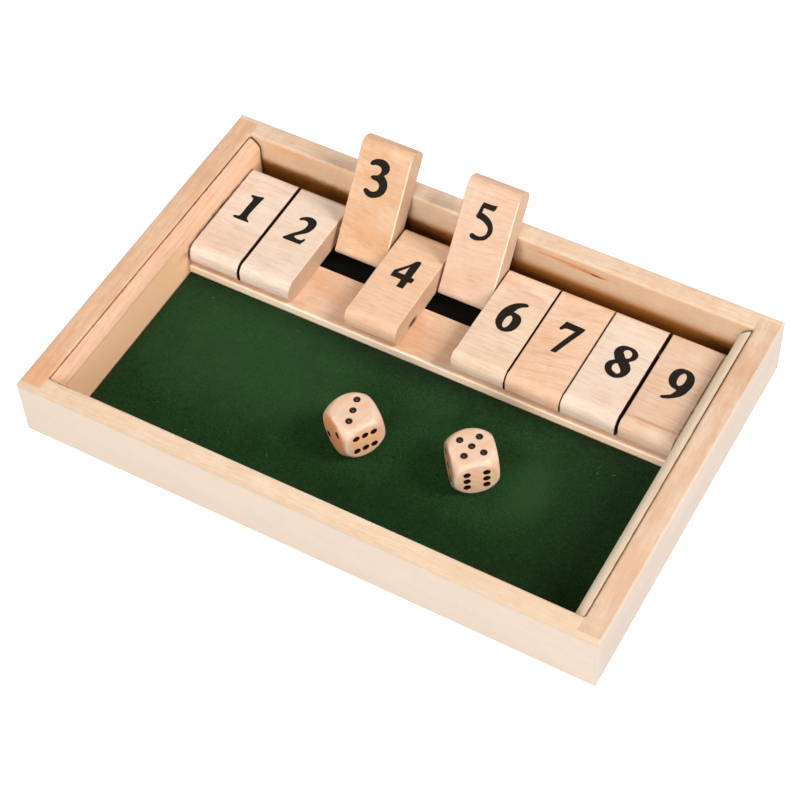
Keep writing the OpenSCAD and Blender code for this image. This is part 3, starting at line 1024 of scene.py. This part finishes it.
def wool(name, dark, pale, scale):
    """Dull fibres that go from a dark to a pale colour in clouds of noise."""
    built = finish(name)
    colour = built.mix(dark, pale, built.noise(built.place(), scale))
    return built.surface(Base_Color=colour, Roughness=0.9, Specular_IOR_Level=0.1)


fuzz = wool("felt_fuzz", "#1a3b16", "#3d6435", 0.8)
fluff = wool("felt_lint", "#5c6e50", "#9aa088", 0.3)
nap = fibres("felt_nap", 5000, (1.0, 2.6), 0.035, (0.03, 0.14), fuzz, 11)
lint = fibres("felt_lint_bits", 14, (0.5, 1.8), 0.045, (0.02, 0.12), fluff, 12)

# %% [markdown]
# ## Dice
#
# Wooden dice are sawn as cubes, drilled for their pips and tumbled until their corners are round.
# The result is the part of a cube that a ball leaves over, with its edges between flat and ball
# rubbed soft. A sharp cube cut by a sphere would look machined. So each direction from the middle
# meets the cube at one distance and the ball at another, and a high power sum blends the two: it
# follows the nearer one, and goes smoothly from one to the other.

# %% Die sizes
DIE_W = 16.0
DIE_BALL = 21.8 / 2
BLEND = 44
DIE_CELLS = 72
PIP_R, PIP_DEPTH, PIP_STEP = 1.2, 0.55, 3.3
PIP_BALL = (PIP_R**2 + PIP_DEPTH**2) / (2 * PIP_DEPTH)
MIDDLE, UPHILL, DOWNHILL = [(0, 0)], [(-1, -1), (1, 1)], [(-1, 1), (1, -1)]
PIPS = {
    1: MIDDLE, 2: DOWNHILL, 3: MIDDLE + UPHILL, 4: UPHILL + DOWNHILL,
    5: MIDDLE + UPHILL + DOWNHILL, 6: UPHILL + DOWNHILL + [(0, -1), (0, 1)],
}
DIE_FACES = [
    # turns about X, Y and Z that bring the top to this side, and its number of pips
    ((0, 0, 0), 3), ((180, 0, 0), 4), ((90, 0, 0), 6), ((-90, 0, 0), 1), ((0, -90, 0), 2),
    ((0, 90, 0), 5),
]
print("a die's corner is", DIE_BALL, "mm from its middle, not", DIE_W / 2 * math.sqrt(3))

# %% Die side
def turn_matrix(degrees):
    """Turns about X, then Y, then Z, as one 3 by 3 array."""
    matrix = Matrix.Identity(3)
    for axis, angle in zip("XYZ", degrees):
        matrix = Matrix.Rotation(math.radians(angle), 3, axis) @ matrix
    return np.array(matrix)


def pip_depth_at(distance):
    """Depth of a pip, cut by a ball, at a distance from its middle; nothing beyond its rim."""
    inside = np.clip(distance, 0, PIP_R)
    return np.sqrt(PIP_BALL**2 - inside**2) - (PIP_BALL - PIP_DEPTH)


def die_side(pips):
    """One side of a die, facing up: directions over a square are carried out to the blend of
    cube and ball, and the pips are sunk into it."""
    angle = np.linspace(-1, 1, DIE_CELLS + 1) * math.pi / 4
    x, y = np.meshgrid(np.tan(angle), np.tan(angle), indexing="ij")
    ray = np.stack([x, y, np.ones_like(x)], -1).reshape(-1, 3)
    ray /= np.linalg.norm(ray, axis=1, keepdims=True)
    cube = np.abs(ray).max(axis=1) / (DIE_W / 2)
    reach = (cube**BLEND + (1 / DIE_BALL) ** BLEND) ** (-1 / BLEND)
    points = ray * reach[:, None]
    for spot in PIPS[pips]:
        away = np.linalg.norm(points[:, :2] - np.array(spot) * PIP_STEP, axis=1)
        points[:, 2] -= pip_depth_at(away)
    return points


print("a side of a die has", len(die_side(6)), "points")

# %% [markdown]
# A pip is a drop of black paint in its dimple. The paint dries as a thin glossy skin, a little
# proud at the rim. It is a lens of its own, turned about the pip's axis: down from the rim into
# the bowl, and back underneath.

# %% Pip paint
PAINT = 0.03
PAINT_SIDES = 28


def pip_paint():
    """The paint of one pip about the origin: a closed profile of distance and height, which
    follows the dimple just above it and then returns just below it, turned about Z."""
    out = PIP_R * np.array([0, 0.2, 0.4, 0.6, 0.75, 0.88, 0.97, 1.04])
    over = PAINT - pip_depth_at(out)
    under = -pip_depth_at(out[::-1]) - PAINT
    profile = np.column_stack([np.append(out, out[::-1]), np.append(over, under)])
    angle = np.linspace(0, 2 * math.pi, PAINT_SIDES, endpoint=False)
    x, y = profile[:, :1] * np.cos(angle), profile[:, :1] * np.sin(angle)
    z = np.repeat(profile[:, 1:], PAINT_SIDES, axis=1)
    return np.stack([x, y, z], -1).reshape(-1, 3), cells(len(profile), PAINT_SIDES, wrap=True)


print("the paint of a pip has", len(pip_paint()[0]), "points")

# %% Die wood
FLAT_FADE = (9.4, 10.5)
DIE_PITH, DIE_RING = (11, -17), 1.7


def die_wood(name, centre, turn, shaded_side, shade_tint, sawn_and_shaded):
    """Maple that has been tumbled and dipped: warmer on the sawn flats, where the distance from
    the middle is less than the ball's. Painted light and shade go over that: the upright flats
    warmer still, the top duller, and the side that faces one given way darker."""
    built = finish(name)
    place = built.place(centre, turn)
    _, across, through = built.parts(place)
    wobble = built.noise(place, (0.05, 0.16, 0.16)) * 3
    radius = ((across - DIE_PITH[0]) ** 2 + (through - DIE_PITH[1]) ** 2) ** 0.5 + wobble
    late = built.step((radius / DIE_RING).math("FRACT"), 0.3, 0.95)
    cloud = built.noise(place, 0.16, 3.0, 0.55)
    fibre = built.noise(place, (0.25, 1.8, 1.8), 3.0, 0.6)
    flat = 1 - built.step(built.vector("LENGTH", place, out="Value"), *FLAT_FADE)
    height = built.facing((0, 0, 1))
    upright = 1 - built.step(height.math("ABSOLUTE"), 0.5, 0.9)
    colour = built.layers(
        "#f1d6c3",
        ("#e8bc9b", built.step(cloud, 0.35, 0.7)),
        ("#efbd9c", flat * 0.4),
        # painted light and shade: the upright flats a deeper orange, the top duller, and in the
        # last layer one side darker
        (sawn_and_shaded, flat * upright * 0.8),
        ("#c0a688", built.step(height, 0.5, 0.9) * 0.24),
        ("#cc9263", late * 0.12),
        ("#b97f50", built.step(fibre, 0.5, 0.8) * 0.12),
        (shade_tint, built.step(built.facing(shaded_side), 0.3, 0.9) * 0.7),
    )
    return built.surface(
        Base_Color=colour,
        Roughness=0.42 + 0.18 * fibre,
        Coat_Weight=0.05 + 0.1 * cloud,
        Normal=built.bump(fibre, 0.03),
    )


print("a die's flats end", math.sqrt(DIE_BALL**2 - (DIE_W / 2) ** 2), "mm from their middle")

# %% Pip finish
gloss = finish("pip_paint")
gloss_grain = gloss.noise(gloss.place(), 1.3, 3.0)
pip_tint = gloss.mix("#0d0604", "#1a0f0b", gloss_grain)
# painted highlight: a paler spot where the paint is level, in the bottom of the pips that face up
pip_highlight = gloss.step(gloss.facing((0, 0, 1)), 0.93, 0.99)
pip_black = gloss.surface(
    Base_Color=gloss.mix(pip_tint, "#5c4a42", pip_highlight * 0.8),
    Roughness=0.35 + 0.14 * gloss_grain,
    Specular_IOR_Level=0.15,
    Normal=gloss.bump(gloss_grain, 0.03),
)

# %% Dice
# the way that the side in painted shade faces, before the die turns on the felt
SHADED_WAY = (-1, 0, -0.3)
DICE = {
    # die: the turns that roll it, its turn on the felt, the tint of its side in painted shade, and
    # the tint of its upright flats, their own warmth deepened by painted shade
    "die_1": ((0, 0, 0), 58.4, "#d78852", "#ffc08a"),
    "die_2": ((0, -90, 0), 40.3, "#7e4a26", "#ffcea3"),
}
for name, (roll, spin, shade_tint, sawn_and_shaded) in DICE.items():
    centre = sum(box_mm(name)) / 2
    stand = turn_matrix((0, 0, spin)) @ turn_matrix(roll)
    sides, paints = [], []
    for side_turn, pips in DIE_FACES:
        side = stand @ turn_matrix(side_turn)
        sides.append((die_side(pips) @ side.T + centre, cells(DIE_CELLS + 1, DIE_CELLS + 1)))
        for spot in PIPS[pips]:
            points, faces = pip_paint()
            place = points + (spot[0] * PIP_STEP, spot[1] * PIP_STEP, DIE_W / 2)
            paints.append((place @ side.T + centre, faces))
    body = f"{name}_body"
    wood_turn = (15, 0, spin + 20)
    shaded_side = turn_matrix((0, 0, spin)) @ SHADED_WAY
    wood = die_wood(f"{name}_maple", centre, wood_turn, shaded_side, shade_tint, sawn_and_shaded)
    die = make_piece(f"{name}_turned", *several(sides), wood, body, "dice_wood", weld=0.002)
    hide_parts(name)
    make_piece(f"{name}_pips", *several(paints), pip_black, body, "black_ink", weld=0.002)

# %% [markdown]
# ## Size
#
# The dressed game must be as big as the model that it dresses.
